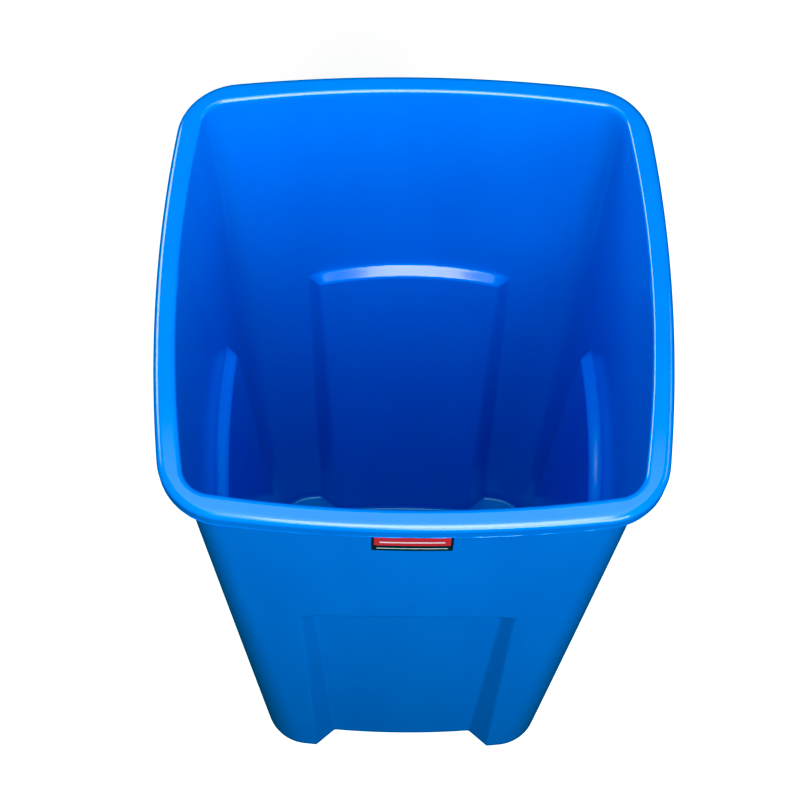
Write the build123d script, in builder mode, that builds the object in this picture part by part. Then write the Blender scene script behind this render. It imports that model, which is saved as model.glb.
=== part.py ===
# Square commercial waste container: one moulded polyethylene body with a turned-down rim,
# and the thin label on its front wall. Units are millimetres, +Z is up, the front is -Y.
# The origin is the centre of the footprint, on the ground.

from build123d import *
import os

# ---- driving dimensions ----
height = 785.0           # ground to the top of the rim
wall = 2.8               # moulded wall thickness

rim_half = 209.5         # centre to the outside of the rim, at mid side
rim_bow = 15.0           # how far the middle of a side stands out beyond its corners
rim_corner = 55.0        # outer corner radius of the rim
lip_drop = 17.0          # height of the turned-down lip
rim_outer_round = 6.0    # rounding from the flat top into the lip
rim_inner_round = 3.5    # rounding from the flat top into the inside wall

top_half = 194.8         # centre to the outside of the body wall, level with the rim's top
top_bow = 15.0
top_corner = 27.0
base_half = 157.5        # the same three sizes at the ground
base_bow = 10.5
base_corner = 47.0

panel_half_top = 102.0   # half width of a recessed panel, where the wall stands out furthest
panel_half_base = 101.0
panel_shoulder = 498.5   # height of the panel's two upper corners
panel_arch = 12.0        # rise of the arched top edge between them
panel_corner = 9.0       # radius of the upper corners
panel_depth_top = 11.5   # depth of the panel under its ledge
panel_depth_base = 19.0  # depth of the panel at the ground
panel_bow = 9.0          # outward bow of the panel's back
flank_run = 1.15         # sideways run of the ledge and flanks for each mm of depth
back_round = 5.0         # rounding where the flanks and ledge meet the panel's back, outside
wall_round = 2.5         # rounding where they meet the wall, outside

foot_round = 2.0         # rounding of the lower outside edge
foot_ring = 12.0         # width of the resting ring under the panels; it is wider at the feet
underside_lift = 3.0     # height of the underside inside that ring
underside_corner = 25.0  # corner radius of the lifted underside
floor_thick = 3.4

label_width = 66.0
label_height = 38.0
label_base = 694.0       # height of the label's lower edge
label_corner = 1.5
label_thick = 0.4

# ---- sizes that follow from them ----
floor_top = underside_lift + floor_thick
wall_slope = (top_half - base_half) / height
shoulder_half = base_half + wall_slope * panel_shoulder
back_slope = (shoulder_half - panel_depth_top - base_half + panel_depth_base) / panel_shoulder
block_out = 12.0         # a panel's block starts this far outside the wall
block_in = 45.0          # and ends this far inside it, behind the panel's back
block_foot = -80.0       # it runs on below the ground, because the panels are open at the bottom
back_top = 620.0         # the back of a panel is shaped up to here, above the ledge

# Leans with the front wall: its normal points into the container and its Y runs up the wall.
front_wall = Plane(
    origin=(0, -base_half, 0), x_dir=(-1, 0, 0), z_dir=(0, 1, wall_slope)
)


def bowed_square(half, bow, corner):
    """Square with rounded corners whose four sides bow outwards, to half at their middle."""
    tip = half - bow
    with BuildSketch() as outline:
        with BuildLine():
            ThreePointArc((tip, -tip), (half, 0), (tip, tip))
            ThreePointArc((tip, tip), (0, half), (-tip, tip))
            ThreePointArc((-tip, tip), (-half, 0), (-tip, -tip))
            ThreePointArc((-tip, -tip), (0, -half), (tip, -tip))
        make_face()
        fillet(outline.vertices(), corner)
    return outline.sketch


def tapered_body(grow):
    """Four-sided tapered body from the ground to just under the rim's top, grown outwards."""
    with BuildPart() as body:
        with BuildSketch(Plane.XY):
            add(bowed_square(base_half + grow, base_bow, base_corner + grow))
        with BuildSketch(Plane.XY.offset(height - wall / 2)):
            add(bowed_square(top_half + grow, top_bow, top_corner + grow))
        loft()
    return body.part


def arched_panel(spread, corner):
    """Upright outline of a recessed panel with an arched top edge, made larger by spread."""
    half_top = panel_half_top + spread
    half_foot = panel_half_base + spread
    shoulder = panel_shoulder + spread
    with BuildSketch() as outline:
        with BuildLine():
            Polyline(
                (-half_top, shoulder),
                (-half_foot, block_foot),
                (half_foot, block_foot),
                (half_top, shoulder),
            )
            ThreePointArc((half_top, shoulder), (0, shoulder + panel_arch), (-half_top, shoulder))
        make_face()
        fillet(outline.vertices().group_by(Axis.Y)[-1], corner)
    return outline.sketch


def panel_block(grow):
    """Tapered block that pushes the front wall in, made larger all round by grow."""
    back_half = base_half - panel_depth_base - grow
    with BuildPart() as back:
        with BuildSketch(Plane.XY.offset(block_foot)):
            add(bowed_square(back_half + back_slope * block_foot, panel_bow, 30))
        with BuildSketch(Plane.XY.offset(back_top)):
            add(bowed_square(back_half + back_slope * back_top, panel_bow, 30))
        loft()
    with BuildPart() as block:
        with BuildSketch(front_wall.offset(-block_out)):
            add(arched_panel(block_out * flank_run + grow * 1.5, panel_corner + 8))
        with BuildSketch(front_wall.offset(block_in)):
            add(arched_panel(-block_in * flank_run + grow * 1.5, 8))
        loft()
        add(back.part, mode=Mode.SUBTRACT)
        back_face = block.faces().sort_by(SortBy.AREA)[-2]
        fillet(back_face.edges().group_by(Axis.Z)[1:], back_round + grow)
    return block.part


def edges_on_wall(edges, inset):
    """Of the edges a panel has cut, the ones that lie on the face of a wall."""
    return edges.filter_by(
        lambda edge: max(abs((edge @ 0.5).X), abs((edge @ 0.5).Y)) + 9
        > base_half + wall_slope * (edge @ 0.5).Z - inset
    ).filter_by(lambda edge: (edge @ 0.5).Z > floor_top + 1)


# ---- inside space of the container ----
with BuildPart() as cavity:
    with BuildSketch(Plane.XY.offset(floor_top)):
        add(bowed_square(base_half + wall_slope * floor_top - wall, base_bow, base_corner - wall))
    with BuildSketch(Plane.XY.offset(height)):
        add(bowed_square(top_half - wall, top_bow, top_corner - wall))
    loft()
    with PolarLocations(0, 4):
        add(panel_block(wall), mode=Mode.SUBTRACT)
    fillet(edges_on_wall(cavity.edges(Select.LAST), wall), wall_round + wall)

# ---- rim: flat top and turned-down lip, with an open gap inside the lip ----
with BuildPart() as rim:
    with BuildSketch(Plane.XY.offset(height - lip_drop)):
        add(bowed_square(rim_half, rim_bow, rim_corner))
    extrude(amount=lip_drop)
    fillet(rim.edges().group_by(Axis.Z)[-1], rim_outer_round)
    with BuildSketch(Plane.XY.offset(height - lip_drop)):
        add(bowed_square(rim_half - wall, rim_bow, rim_corner - wall))
    extrude(amount=lip_drop - wall, mode=Mode.SUBTRACT)

# ---- container: walls, panels, feet, floor and rim in one moulding ----
with BuildPart() as container:
    # Walls and their four recessed panels, which leave a foot at each corner.
    add(tapered_body(0))
    with PolarLocations(0, 4):
        add(panel_block(0), mode=Mode.SUBTRACT)
    fillet(edges_on_wall(container.edges(Select.LAST), 0), wall_round)
    fillet(container.edges().group_by(Axis.Z)[0], foot_round)
    # Underside, lifted inside the ring that the container rests on.
    with BuildSketch(Plane.XY):
        add(bowed_square(base_half - panel_depth_base - foot_ring, panel_bow, underside_corner))
    extrude(amount=underside_lift, mode=Mode.SUBTRACT)
    add(rim.part)
    add(cavity.part, mode=Mode.SUBTRACT)
    fillet(container.edges(Select.LAST).group_by(Axis.Z)[-1], rim_inner_round)

# ---- label: thin printed film on the front wall, close under the lip ----
with BuildPart() as label:
    add(tapered_body(label_thick))
    with BuildSketch(Plane.XZ.offset(base_half)):
        with Locations((0, label_base + label_height / 2)):
            RectangleRounded(label_width, label_height, label_corner)
    extrude(amount=rim_half - base_half, mode=Mode.INTERSECT)
    add(tapered_body(0), mode=Mode.SUBTRACT)

# ---- pieces, one file each ----
container.part.label = "container"
label.part.label = "label"

os.makedirs("parts", exist_ok=True)
export_step(container.part, "parts/container.step")
export_step(label.part, "parts/label.step")
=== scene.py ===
import math

import bpy
import numpy as np
from mathutils import Matrix, Vector, noise


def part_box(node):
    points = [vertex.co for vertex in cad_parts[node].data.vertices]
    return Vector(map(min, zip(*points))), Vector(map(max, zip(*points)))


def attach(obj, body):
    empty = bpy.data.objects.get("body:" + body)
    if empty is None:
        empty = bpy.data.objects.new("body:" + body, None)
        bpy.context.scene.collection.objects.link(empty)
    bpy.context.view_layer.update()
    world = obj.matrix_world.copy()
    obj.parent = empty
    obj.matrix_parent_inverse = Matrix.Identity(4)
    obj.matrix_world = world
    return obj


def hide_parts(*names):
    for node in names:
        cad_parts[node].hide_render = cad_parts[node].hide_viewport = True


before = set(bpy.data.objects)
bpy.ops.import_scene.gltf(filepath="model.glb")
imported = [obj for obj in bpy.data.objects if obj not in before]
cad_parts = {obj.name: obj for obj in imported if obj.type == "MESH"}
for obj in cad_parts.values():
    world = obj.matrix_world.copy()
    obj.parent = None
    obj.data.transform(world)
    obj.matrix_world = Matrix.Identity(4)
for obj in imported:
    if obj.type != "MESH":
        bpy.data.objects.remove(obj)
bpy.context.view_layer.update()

# ---- Container ---------------------------------------------------------------------------
# One injection moulding of pigmented polyethylene: four bowed walls that taper to the ground,
# a recessed panel in each wall that leaves a foot at every corner, a floor, and a flat-topped
# rim with a turned-down lip. Nothing is fixed to it but the label.
container_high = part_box("container")[1]
height = container_high.z
wall = 0.0028

# Half width at mid side, bow of the sides and corner radius.
rim_size = (container_high.x, 0.015, 0.055)
top_size = (0.1948, 0.015, 0.027)
base_size = (0.1575, 0.0105, 0.047)
resting_ring_size = (0.1265, 0.009, 0.025)

lip_drop = 0.017
lip_draft = 0.0005           # the lip leans in towards its lower edge, to leave the mould
lip_edge_round = 0.0005
rim_outer_round = 0.006
rim_inner_round = 0.0035
flash_reach = 0.00045        # the thin flash that the mould's parting leaves along the lip
flash_thick = 0.0003
fine_rows_low = 0.467        # the rows of the mesh are close together across the ledges
fine_rows_high = 0.517
fine_rows_inside = 0.520

panel_half_top = 0.102
panel_half_base = 0.101
panel_shoulder = 0.4985      # height of the panel's two upper corners
panel_arch = 0.012           # rise of its arched top edge between them
panel_corner = 0.024
panel_depth_top = 0.0115
panel_depth_base = 0.019
panel_bow = 0.009            # outward bow of the panel's back
flank_run = 1.15             # sideways run of a flank for each unit of depth
ledge_run = 0.60             # the same for the ledge under the arched edge
outside_blend = (0.0008, 0.0015)    # softness of the turns from wall to flank and flank to back
inside_blend = (0.0022, 0.0024)

foot_round = 0.002
underside_lift = 0.003
floor_top = 0.0064
floor_round = 0.004          # rounding where the walls meet the floor, inside
gate_radius = 0.009          # round mark in the middle of the base, where the plastic was let in
gate_step = 0.0006

middle_reach = 0.064         # the mesh is finer from here to flank_reach, across the flanks
flank_reach = 0.108
flank_room = 0.1097          # half side of the narrowest loop that still holds the panels


def soft_max(a, b, blend):
    """The larger of two depths, with the kink where they meet rounded off."""
    near = np.maximum(blend - np.abs(a - b), 0)
    return np.maximum(a, b) + near**2 / (4 * blend)


def bow_radius(half, bow):
    """Radius of the arc that stands out by bow between the two tips of a side."""
    return ((half - bow) ** 2 + bow**2) / (2 * bow)


def wall_size(z):
    """Half width, bow and corner radius of the outside of the walls at height z."""
    share = z / (height - wall / 2)
    return [low + (high - low) * share for low, high in zip(base_size, top_size)]


def panel_depth(along, z, wall_depth, grow, blends):
    """Depth behind the middle line of a wall, with its panel pushed in; grow is 0 outside."""
    up = z / panel_shoulder
    half_wide = panel_half_base + (panel_half_top - panel_half_base) * up + grow * 1.5
    arch_radius = (panel_half_top**2 + panel_arch**2) / (2 * panel_arch)
    arch_centre = panel_shoulder + panel_arch - arch_radius
    flank = (half_wide - np.abs(along)) / flank_run
    ledge = (arch_radius + grow * 1.5 - np.hypot(along, z - arch_centre)) / ledge_run
    turn = panel_corner / flank_run
    slope = turn - np.hypot(np.maximum(turn - flank, 0), np.maximum(turn - ledge, 0))
    slope += np.maximum(np.minimum(flank, ledge) - turn, 0)
    back_middle = panel_depth_base + (panel_depth_top - panel_depth_base) * up
    radius = bow_radius(wall_size(z)[0] - back_middle, panel_bow)
    back = back_middle + grow + radius - np.sqrt(radius**2 - along**2)
    pushed_in = -soft_max(-slope, -back, blends[1])
    return soft_max(wall_depth + grow, pushed_in, blends[0])


def loop_round(size, z, inset=0.0, panels=None):
    """One closed loop of mesh points; panels is None for a plain loop, or outside or inside."""
    half, bow, corner = size[0] - inset, size[1], size[2] - inset
    radius = bow_radius(half, bow)
    core = radius - corner
    pivot = (math.sqrt(2 * core**2 - (radius - half) ** 2) - (radius - half)) / 2
    tangent = radius * pivot / core
    squeeze = min(1, tangent / flank_room)
    steps = [
        np.linspace(0, middle_reach, 26, endpoint=False) * squeeze,
        np.linspace(middle_reach, flank_reach, 30, endpoint=False) * squeeze,
        np.linspace(flank_reach * squeeze, tangent, 13),
    ]
    half_side = np.concatenate(steps)
    along = np.concatenate([-half_side[:0:-1], half_side])
    depth = radius - np.sqrt(radius**2 - along**2)
    if panels == "outside":
        depth = panel_depth(along, z, depth, 0, outside_blend)
    if panels == "inside":
        depth = panel_depth(along, z, depth, wall, inside_blend) - wall
    side = np.stack([along, depth - half], axis=1)
    lean = math.asin(tangent / radius)
    turn = np.linspace(lean - math.pi / 2, -lean, 25)[1:-1]
    arc = np.stack([pivot + corner * np.cos(turn), -pivot + corner * np.sin(turn)], axis=1)
    front = np.concatenate([side, arc])
    right = front[:, ::-1] * (-1, 1)
    flat = np.concatenate([front, right, -front, -right])
    return np.column_stack([flat, np.full(len(flat), z)])


def rounding(radius, steps):
    """(inset, rise) pairs along a quarter round, from lying flat to standing up."""
    angles = np.linspace(0, math.pi / 2, steps)
    return [(radius * (1 - math.sin(a)), radius * (1 - math.cos(a))) for a in angles]


def shrunk(loop, share, z):
    """A loop drawn in towards the upright axis, at a new height."""
    return np.column_stack([loop[:, :2] * share, np.full(len(loop), z)])


def circle_like(loop, radius, z):
    """A circle with as many points as the loop, in the same directions."""
    reach = np.hypot(loop[:, 0], loop[:, 1])
    return np.column_stack([loop[:, :2] / reach[:, None] * radius, np.full(len(loop), z)])


def disc(loop, z, bump):
    """Loops that fill the base from a loop inwards, ending in the gate mark."""
    spread = [shrunk(loop, share, z) for share in (0.995, 0.9, 0.72, 0.54, 0.36, 0.18)]
    mark = [
        circle_like(loop, gate_radius + 0.0012, z),
        circle_like(loop, gate_radius, z + bump * 0.2),
        circle_like(loop, gate_radius - 0.0008, z + bump),
        circle_like(loop, gate_radius * 0.4, z + bump),
        circle_like(loop, gate_radius * 0.3, z + bump * 2),
        circle_like(loop, gate_radius * 0.1, z + bump * 2.3),
    ]
    return spread + mark


def flash_loop(z, reach):
    """A loop along the lip's lower edge that stands out by an uneven, broken amount."""
    loop = loop_round(rim_size, z, lip_draft)
    push = np.array([noise.noise(Vector(p) * 55) + 0.6 * noise.noise(Vector(p) * 260) for p in loop])
    outward = loop[:, :2] / np.hypot(loop[:, 0], loop[:, 1])[:, None]
    loop[:, :2] += outward * (reach * np.clip(0.6 + 0.75 * push, 0.05, 1.1))[:, None]
    return loop


# The loops run from the middle of the underside, up the outside, over the rim and down inside.
under_edge = loop_round(resting_ring_size, underside_lift)
loops = disc(under_edge, underside_lift, gate_step)[::-1]
loops += [loop_round(resting_ring_size, underside_lift - 0.0006, -0.0002)]
loops += [loop_round(resting_ring_size, 0.0006, -0.0005)]
loops += [loop_round(resting_ring_size, 0, -0.0011), loop_round(resting_ring_size, 0, -0.002)]
loops += [
    loop_round(wall_size(rise), rise, inset, "outside") for inset, rise in rounding(foot_round, 6)
]
wall_rows = np.concatenate([
    np.linspace(foot_round, fine_rows_low, 52)[1:],
    np.linspace(fine_rows_low, fine_rows_high, 34)[1:],
    np.linspace(fine_rows_high, height - wall - 0.001, 24)[1:],
])
loops += [loop_round(wall_size(z), z, 0, "outside") for z in wall_rows]
under_top = height - wall
lip_low = height - lip_drop
loops += [loop_round(wall_size(under_top), under_top, -inset) for inset in (0.0006, 0.0016)]
loops += [loop_round(rim_size, under_top, wall + inset) for inset in (0.0016, 0.0006)]
loops += [loop_round(rim_size, under_top - 0.001, wall)]
loops += [loop_round(rim_size, z, wall) for z in np.linspace(under_top - 0.003, lip_low + 0.002, 4)]
loops += [
    loop_round(rim_size, lip_low + 0.0006, wall),
    loop_round(rim_size, lip_low, wall - lip_edge_round),
    loop_round(rim_size, lip_low, lip_draft + lip_edge_round * 1.6),
    loop_round(rim_size, lip_low, lip_draft + 0.0001),
    flash_loop(lip_low + 0.0001, flash_reach),
    flash_loop(lip_low + flash_thick, flash_reach),
    loop_round(rim_size, lip_low + flash_thick + 0.0001, lip_draft),
    loop_round(rim_size, lip_low + 0.001, lip_draft * 0.96),
]
lip_top = height - rim_outer_round
loops += [
    loop_round(rim_size, z, lip_draft * (lip_top - z) / (lip_top - lip_low))
    for z in np.linspace(lip_low + 0.002, lip_top - 0.0008, 6)
]
outer_turn = [(inset, height - rise) for inset, rise in rounding(rim_outer_round, 13)][::-1]
loops += [loop_round(rim_size, z, inset) for inset, z in outer_turn]
inner_size = wall_size(height)
inner_turn = [(wall - inset, height - rise) for inset, rise in rounding(rim_inner_round, 9)]
flat_out = loop_round(rim_size, height, rim_outer_round)
flat_in = loop_round(inner_size, height, wall - rim_inner_round)
loops += [flat_out * (1 - share) + flat_in * share for share in (0.06, 0.3, 0.6, 0.94)]
loops += [loop_round(inner_size, z, inset) for inset, z in inner_turn]
inside_rows = np.concatenate([
    [height - rim_inner_round - 0.001],
    np.linspace(height - rim_inner_round - 0.004, fine_rows_inside, 24),
    np.linspace(fine_rows_inside, fine_rows_low, 40)[1:],
    np.linspace(fine_rows_low, floor_top + floor_round, 48)[1:],
])
loops += [loop_round(wall_size(z), z, wall, "inside") for z in inside_rows]
floor_turn = [(wall + inset, floor_top + rise) for inset, rise in rounding(floor_round, 6)]
loops += [loop_round(wall_size(z), z, inset, "inside") for inset, z in floor_turn[-2::-1]]
loops += disc(loops[-1], floor_top, 0)


def closed_mesh(name, loops):
    """A mesh of four-sided faces between the loops, closed by a fan at each end."""
    count = len(loops[0])
    ends = [loops[0].mean(axis=0), loops[-1].mean(axis=0)]
    points = np.concatenate(loops + [np.array(ends)])
    first_end, last_end = len(points) - 2, len(points) - 1
    here = np.arange(count)
    after = (here + 1) % count
    faces = []
    for row in range(len(loops) - 1):
        low, high = row * count, (row + 1) * count
        faces += np.stack([low + here, low + after, high + after, high + here], axis=1).tolist()
    last = (len(loops) - 1) * count
    faces += [[first_end, int(b), int(a)] for a, b in zip(here, after)]
    faces += [[last_end, int(last + a), int(last + b)] for a, b in zip(here, after)]
    mesh = bpy.data.meshes.new(name)
    mesh.from_pydata(points.tolist(), [], faces)
    mesh.polygons.foreach_set("use_smooth", [True] * len(faces))
    mesh.update()
    return mesh


container = bpy.data.objects.new("moulded_container", closed_mesh("moulded_container", loops))
bpy.context.collection.objects.link(container)


def new_group(name, inputs, outputs):
    """An empty shader node group with number inputs and outputs, and its two end nodes."""
    group = bpy.data.node_groups.new(name, "ShaderNodeTree")
    for socket, value in inputs.items():
        made = group.interface.new_socket(socket, in_out="INPUT", socket_type="NodeSocketFloat")
        made.default_value = value
    for socket in outputs:
        group.interface.new_socket(socket, in_out="OUTPUT", socket_type="NodeSocketFloat")
    return group, group.nodes.new("NodeGroupInput"), group.nodes.new("NodeGroupOutput")


def calc(tree, operation, first, second=0.0, clamp=False):
    """A Math node; each operand is a number or a socket."""
    node = tree.nodes.new("ShaderNodeMath")
    node.operation = operation
    node.use_clamp = clamp
    for socket, operand in zip(node.inputs, (first, second)):
        if isinstance(operand, (int, float)):
            socket.default_value = operand
        else:
            tree.links.new(operand, socket)
    return node.outputs[0]


def speckle(tree, place, scale, detail=2.0, rough=0.5):
    """The value of a Noise Texture at the given place and scale."""
    node = tree.nodes.new("ShaderNodeTexNoise")
    tree.links.new(place, node.inputs["Vector"])
    for socket, value in (("Scale", scale), ("Detail", detail), ("Roughness", rough)):
        if isinstance(value, (int, float)):
            node.inputs[socket].default_value = value
        else:
            tree.links.new(value, node.inputs[socket])
    return node.outputs["Fac"]


def stretched(tree, place, factors):
    """The place scaled along each axis, to draw a texture out."""
    node = tree.nodes.new("ShaderNodeMapping")
    node.inputs["Scale"].default_value = factors
    tree.links.new(place, node.inputs["Vector"])
    return node.outputs["Vector"]


def spread(tree, value, low, high):
    """The value mapped from low..high to 0..1, smoothly and clamped."""
    node = tree.nodes.new("ShaderNodeMapRange")
    node.interpolation_type = "SMOOTHSTEP"
    tree.links.new(value, node.inputs["Value"])
    node.inputs["From Min"].default_value = low
    node.inputs["From Max"].default_value = high
    return node.outputs["Result"]


def mixed(tree, share, first, second):
    """A colour between two, by a share; each colour is a tuple or a socket."""
    node = tree.nodes.new("ShaderNodeMix")
    node.data_type = "RGBA"
    tree.links.new(share, node.inputs["Factor"])
    for socket, colour in zip((node.inputs[6], node.inputs[7]), (first, second)):
        if isinstance(colour, tuple):
            socket.default_value = (*colour, 1)
        else:
            tree.links.new(colour, socket)
    return node.outputs[2]


def handling_marks():
    """Fine scratches in two directions and faint smudges, for any surface that is touched."""
    group, ins, outs = new_group("handling_marks", {"Density": 0.5}, ("Scratches", "Smudges"))
    place = group.nodes.new("ShaderNodeTexCoord").outputs["Object"]
    leaning = speckle(group, stretched(group, place, (900, 900, 60)), 1, 3, 0.6)
    lying = speckle(group, stretched(group, place, (40, 40, 1400)), 1, 3, 0.6)
    patches = spread(group, speckle(group, place, 14, 2), 0.45, 0.75)
    lines = calc(group, "MAXIMUM", spread(group, leaning, 0.66, 0.78), spread(group, lying, 0.66, 0.78))
    fine = calc(group, "MULTIPLY", calc(group, "MULTIPLY", lines, patches), ins.outputs["Density"])
    smudge = spread(group, speckle(group, place, 22, 4, 0.6), 0.42, 0.8)
    group.links.new(fine, outs.inputs["Scratches"])
    group.links.new(calc(group, "MULTIPLY", smudge, ins.outputs["Density"]), outs.inputs["Smudges"])
    return group


def mould_skin():
    """Skin of a moulding: slow waves where the wall shrank, and the fine grain of the tool."""
    group, ins, outs = new_group("mould_skin", {"Wave": 1.0, "Grain": 1.0}, ("Height", "Flow"))
    place = group.nodes.new("ShaderNodeTexCoord").outputs["Object"]
    wave = calc(group, "MULTIPLY", speckle(group, stretched(group, place, (1, 1, 0.6)), 11, 1), 0.00015)
    grain = calc(group, "MULTIPLY", speckle(group, place, 900, 2, 0.6), 0.0000025)
    wave = calc(group, "MULTIPLY", wave, ins.outputs["Wave"])
    grain = calc(group, "MULTIPLY", grain, ins.outputs["Grain"])
    group.links.new(calc(group, "ADD", wave, grain), outs.inputs["Height"])
    flow = speckle(group, stretched(group, place, (16, 16, 3)), 1, 3, 0.55)
    group.links.new(spread(group, flow, 0.3, 0.7), outs.inputs["Flow"])
    return group


handling_group = handling_marks()
skin_group = mould_skin()


def placed(tree, group, **values):
    """A group node in a material, with its own input values."""
    node = tree.nodes.new("ShaderNodeGroup")
    node.node_tree = group
    for name, value in values.items():
        node.inputs[name].default_value = value
    return node


def bumped(tree, shader, height_socket, strength=1.0):
    """Feeds a height in metres to the shader's normal."""
    node = tree.nodes.new("ShaderNodeBump")
    node.inputs["Strength"].default_value = strength
    node.inputs["Distance"].default_value = 1.0
    tree.links.new(height_socket, node.inputs["Height"])
    tree.links.new(node.outputs["Normal"], shader.inputs["Normal"])


def container_plastic():
    """Solid blue polyethylene: deep even pigment, faint flow marks, a soft moulded gloss."""
    material = bpy.data.materials.new("blue_polyethylene")
    material.use_nodes = True
    tree = material.node_tree
    shader = tree.nodes["Principled BSDF"]
    skin = placed(tree, skin_group, Wave=1.0, Grain=1.0)
    marks = placed(tree, handling_group, Density=0.5)
    place = tree.nodes.new("ShaderNodeTexCoord").outputs["Object"]
    upright = tree.nodes.new("ShaderNodeSeparateXYZ")
    tree.links.new(place, upright.inputs["Vector"])
    near_ground = spread(tree, upright.outputs["Z"], 0.05, 0.0)
    rubbed = calc(tree, "MULTIPLY", near_ground, spread(tree, speckle(tree, place, 120, 3), 0.45, 0.7))
    pigment = mixed(tree, skin.outputs["Flow"], (0.0, 0.190, 0.86), (0.0, 0.208, 0.91))
    worn = mixed(tree, calc(tree, "MULTIPLY", rubbed, 0.25), pigment, (0.03, 0.27, 0.86))
    scratched = calc(tree, "MULTIPLY", marks.outputs["Scratches"], 0.12)
    tree.links.new(mixed(tree, scratched, worn, (0.06, 0.30, 0.90)), shader.inputs["Base Color"])
    gloss = calc(tree, "MULTIPLY_ADD", marks.outputs["Smudges"], 0.07)
    gloss.node.inputs[2].default_value = 0.32
    gloss = calc(tree, "ADD", gloss, calc(tree, "MULTIPLY", rubbed, 0.15))
    gloss = calc(tree, "ADD", gloss, calc(tree, "MULTIPLY", marks.outputs["Scratches"], 0.15))
    tree.links.new(gloss, shader.inputs["Roughness"])
    shader.inputs["IOR"].default_value = 1.52
    shader.inputs["Coat Weight"].default_value = 0.9
    shader.inputs["Coat Roughness"].default_value = 0.14
    scores = calc(tree, "MULTIPLY", marks.outputs["Scratches"], -0.00001)
    bumped(tree, shader, calc(tree, "ADD", skin.outputs["Height"], scores))
    return material


container.data.materials.append(container_plastic())
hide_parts("container")
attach(container, "root")

# ---- Label -------------------------------------------------------------------------------
# A thin printed film on the front wall, close under the lip: a black ground with a
# raised edge, a red field and two plain white rules in place of any wording.
label_low, label_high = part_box("label")
label_half = (label_high.x - label_low.x) / 2
label_base = label_low.z
label_rise = label_high.z - label_low.z
label_corner = 0.0015
label_thick = 0.0004
label_edge = 0.0021          # width of the black edge beside the red field
strip_rise = 0.0125          # height of the black strip under the red field
long_rule_rise = 0.0080      # the long rule's middle above the foot of the red field
short_rule_rise = 0.0062     # the short rule's middle above the label's lower edge
print_rise = 0.00006         # how far the raised edge stands up


def label_mesh():
    """A fine sheet wrapped onto the front wall, thicker along its edge, with rounded corners."""
    step = 0.0005
    across = np.linspace(-label_half, label_half, round(2 * label_half / step) + 1)
    up = np.linspace(0, label_rise, round(label_rise / step) + 1)
    points = []
    for z in up:
        half, bow, _ = wall_size(label_base + z)
        radius = bow_radius(half, bow)
        for x in across:
            # Pull the outermost points in, so that the corners are round.
            over_x = max(abs(x) - (label_half - label_corner), 0)
            over_z = max(abs(z - label_rise / 2) - (label_rise / 2 - label_corner), 0)
            reach = math.hypot(over_x, over_z)
            shrink = max(over_x, over_z) / reach if reach else 1
            px = x - math.copysign(over_x * (1 - shrink), x)
            pz = z - math.copysign(over_z * (1 - shrink), z - label_rise / 2)
            rim_gap = min(label_half - abs(x), z, label_rise - z)
            stand = label_thick * min(1, 0.35 + rim_gap / 0.0008)
            stand += print_rise * max(0, 1 - abs(rim_gap - 0.001) / 0.0006)
            points.append((px, -(half - radius + math.sqrt(radius**2 - px**2)) - stand, label_base + pz))
    front = np.array(points)
    back = front.copy()
    columns, rows = len(across), len(up)
    for row in range(rows):
        half, bow, _ = wall_size(label_base + up[row])
        radius = bow_radius(half, bow)
        part = slice(row * columns, (row + 1) * columns)
        back[part, 1] = -(half - radius + np.sqrt(radius**2 - back[part, 0] ** 2)) + 0.00005
    count = columns * rows
    grid = np.arange(count).reshape(rows, columns)
    quads = np.stack([grid[:-1, :-1], grid[:-1, 1:], grid[1:, 1:], grid[1:, :-1]], axis=-1).reshape(-1, 4)
    edge = np.concatenate([grid[0, :-1], grid[:-1, -1], grid[-1, :0:-1], grid[:0:-1, 0]])
    after = np.roll(edge, -1)
    sides = np.stack([edge, edge + count, after + count, after], axis=1)
    faces = quads.tolist() + (quads[:, ::-1] + count).tolist() + sides.tolist()
    mesh = bpy.data.meshes.new("front_label")
    mesh.from_pydata(np.concatenate([front, back]).tolist(), [], faces)
    mesh.polygons.foreach_set("use_smooth", [True] * len(faces))
    mesh.update()
    return mesh


def inside_box(tree, across, up, centre, half_size, soft=0.00012):
    """1 inside a printed rectangle and 0 outside it, with a sharp printed edge."""
    from_x = calc(tree, "ABSOLUTE", calc(tree, "SUBTRACT", across, centre[0]))
    from_z = calc(tree, "ABSOLUTE", calc(tree, "SUBTRACT", up, centre[1]))
    in_x = spread(tree, from_x, half_size[0] + soft, half_size[0] - soft)
    in_z = spread(tree, from_z, half_size[1] + soft, half_size[1] - soft)
    return calc(tree, "MULTIPLY", in_x, in_z)


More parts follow.
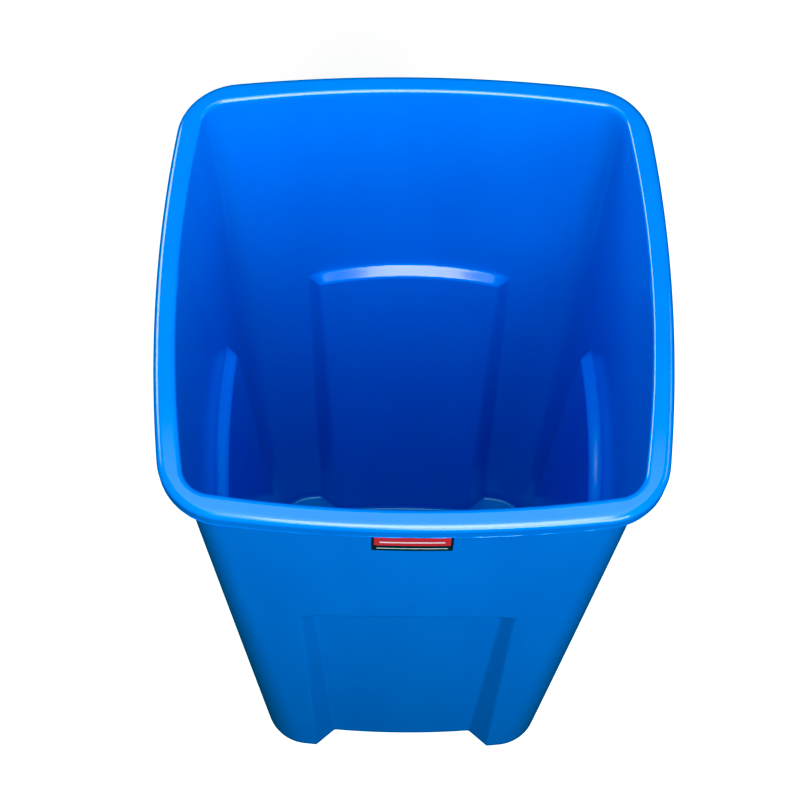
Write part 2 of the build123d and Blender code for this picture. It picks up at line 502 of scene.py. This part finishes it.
def label_print():
    """Printed film: satin black with a red field and two plain white rules."""
    material = bpy.data.materials.new("printed_label")
    material.use_nodes = True
    tree = material.node_tree
    shader = tree.nodes["Principled BSDF"]
    place = tree.nodes.new("ShaderNodeTexCoord").outputs["Object"]
    parts = tree.nodes.new("ShaderNodeSeparateXYZ")
    tree.links.new(place, parts.inputs["Vector"])
    x, z = parts.outputs["X"], parts.outputs["Z"]
    field_low = label_base + strip_rise
    field_high = label_base + label_rise - label_edge
    field_middle = (field_low + field_high) / 2
    field = inside_box(
        tree, x, z, (0, field_middle), (label_half - label_edge, (field_high - field_low) / 2)
    )
    long_rule = inside_box(tree, x, z, (0, field_low + long_rule_rise), (0.0262, 0.0014))
    short_rule = inside_box(tree, x, z, (0, label_base + short_rule_rise), (0.0290, 0.0008))
    rules = calc(tree, "MAXIMUM", long_rule, short_rule)
    ink = speckle(tree, place, 700, 3, 0.6)
    black = mixed(tree, ink, (0.002, 0.002, 0.004), (0.012, 0.011, 0.014))
    red = mixed(tree, ink, (0.50, 0.012, 0.03), (0.62, 0.022, 0.045))
    white = mixed(tree, ink, (0.74, 0.74, 0.76), (0.86, 0.86, 0.87))
    tree.links.new(
        mixed(tree, rules, mixed(tree, field, black, red), white), shader.inputs["Base Color"]
    )
    marks = placed(tree, handling_group, Density=0.7)
    gloss = calc(tree, "MULTIPLY_ADD", marks.outputs["Smudges"], 0.10)
    gloss.node.inputs[2].default_value = 0.30
    tree.links.new(calc(tree, "ADD", gloss, calc(tree, "MULTIPLY", rules, 0.06)), shader.inputs["Roughness"])
    grain = calc(tree, "MULTIPLY", ink, 0.00001)
    bumped(tree, shader, calc(tree, "ADD", grain, calc(tree, "MULTIPLY", rules, 0.00002)))
    return material


label = bpy.data.objects.new("front_label", label_mesh())
bpy.context.collection.objects.link(label)
label.data.materials.append(label_print())
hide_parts("label")
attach(label, "root")

# ---- Studio ------------------------------------------------------------------------------
# A seamless white floor, a large softbox high in front, a low one in front and one at each
# side, and a white room.
def studio_floor():
    """A wide sheet of white paper with a faint tooth."""
    mesh = bpy.data.meshes.new("studio_floor")
    half = 8.0
    corners = [(-half, -half, 0), (half, -half, 0), (half, half, 0), (-half, half, 0)]
    mesh.from_pydata(corners, [], [(0, 1, 2, 3)])
    floor = bpy.data.objects.new("studio_floor", mesh)
    bpy.context.collection.objects.link(floor)
    material = bpy.data.materials.new("white_paper")
    material.use_nodes = True
    tree = material.node_tree
    shader = tree.nodes["Principled BSDF"]
    place = tree.nodes.new("ShaderNodeTexCoord").outputs["Object"]
    tooth = speckle(tree, place, 300, 3)
    paper = mixed(tree, tooth, (0.92, 0.92, 0.925), (0.95, 0.95, 0.95))
    seen = tree.nodes.new("ShaderNodeLightPath").outputs["Is Camera Ray"]
    tree.links.new(mixed(tree, seen, (0.03, 0.03, 0.03), paper), shader.inputs["Base Color"])
    tree.links.new(mixed(tree, seen, (0.0, 0.0, 0.0), (1.0, 1.0, 1.0)), shader.inputs["Emission Color"])
    shader.inputs["Emission Strength"].default_value = 0.38
    shader.inputs["Roughness"].default_value = 0.85
    shader.inputs["Specular IOR Level"].default_value = 0.2
    mesh.materials.append(material)


def softbox(name, direction, distance, size, radiance):
    """A rectangular light seen from the rim in the given azimuth and elevation."""
    azimuth, elevation = (math.radians(angle) for angle in direction)
    aim = Vector((0, 0, height * 0.75))
    towards = Vector((
        math.sin(azimuth) * math.cos(elevation),
        -math.cos(azimuth) * math.cos(elevation),
        math.sin(elevation),
    ))
    lamp = bpy.data.lights.new(name, "AREA")
    lamp.shape = "RECTANGLE"
    lamp.size, lamp.size_y = size
    lamp.energy = radiance * math.pi * size[0] * size[1]
    light = bpy.data.objects.new(name, lamp)
    light.location = aim + towards * distance
    light.rotation_mode = "QUATERNION"
    light.rotation_quaternion = towards.to_track_quat("Z", "Y")
    light.visible_camera = False
    bpy.context.collection.objects.link(light)


studio_floor()
softbox("top_softbox", (0, 88), 1.45, (1.3, 1.0), 1.5)
softbox("front_softbox", (4, 50), 2.8, (1.3, 2.0), 8.0)
softbox("low_softbox", (18, 16), 2.8, (1.8, 1.2), 5.6)
softbox("left_softbox", (-120, 28), 2.8, (1.1, 1.2), 6.5)
softbox("right_softbox", (105, 30), 2.8, (1.2, 1.0), 2.2)

world = bpy.data.worlds.new("white_room")
world.use_nodes = True
world.node_tree.nodes["Background"].inputs["Color"].default_value = (1.0, 1.0, 1.0, 1)
world.node_tree.nodes["Background"].inputs["Strength"].default_value = 0.15
bpy.context.scene.world = world

# ---- Camera ------------------------------------------------------------------------------
# Eye height is well above the rim, looking down into the container from just left of centre.
camera_place = Vector((-0.0248, -0.7839, height + 1.4170))
camera_pitch = math.radians(64.21)     # downwards
camera_yaw = math.radians(1.13)
camera_roll = math.radians(1.57)
lens_length = 90.0

ahead = Vector((
    math.sin(camera_yaw) * math.cos(camera_pitch),
    math.cos(camera_yaw) * math.cos(camera_pitch),
    -math.sin(camera_pitch),
))
level = Vector((math.cos(camera_yaw), -math.sin(camera_yaw), 0))
upward = level.cross(ahead)
right = math.cos(camera_roll) * level + math.sin(camera_roll) * upward
above = -math.sin(camera_roll) * level + math.cos(camera_roll) * upward
camera_data = bpy.data.cameras.new("studio_camera")
camera_data.sensor_width = 36
camera_data.lens = lens_length
camera = bpy.data.objects.new("studio_camera", camera_data)
camera.matrix_world = Matrix.Translation(camera_place) @ Matrix((right, above, -ahead)).transposed().to_4x4()
bpy.context.collection.objects.link(camera)
bpy.context.scene.camera = camera

view = bpy.context.scene.view_settings
view.view_transform = "Standard"
view.use_curve_mapping = True
view.curve_mapping.black_level = (0.055, 0.0, 0.0)
view.curve_mapping.update()
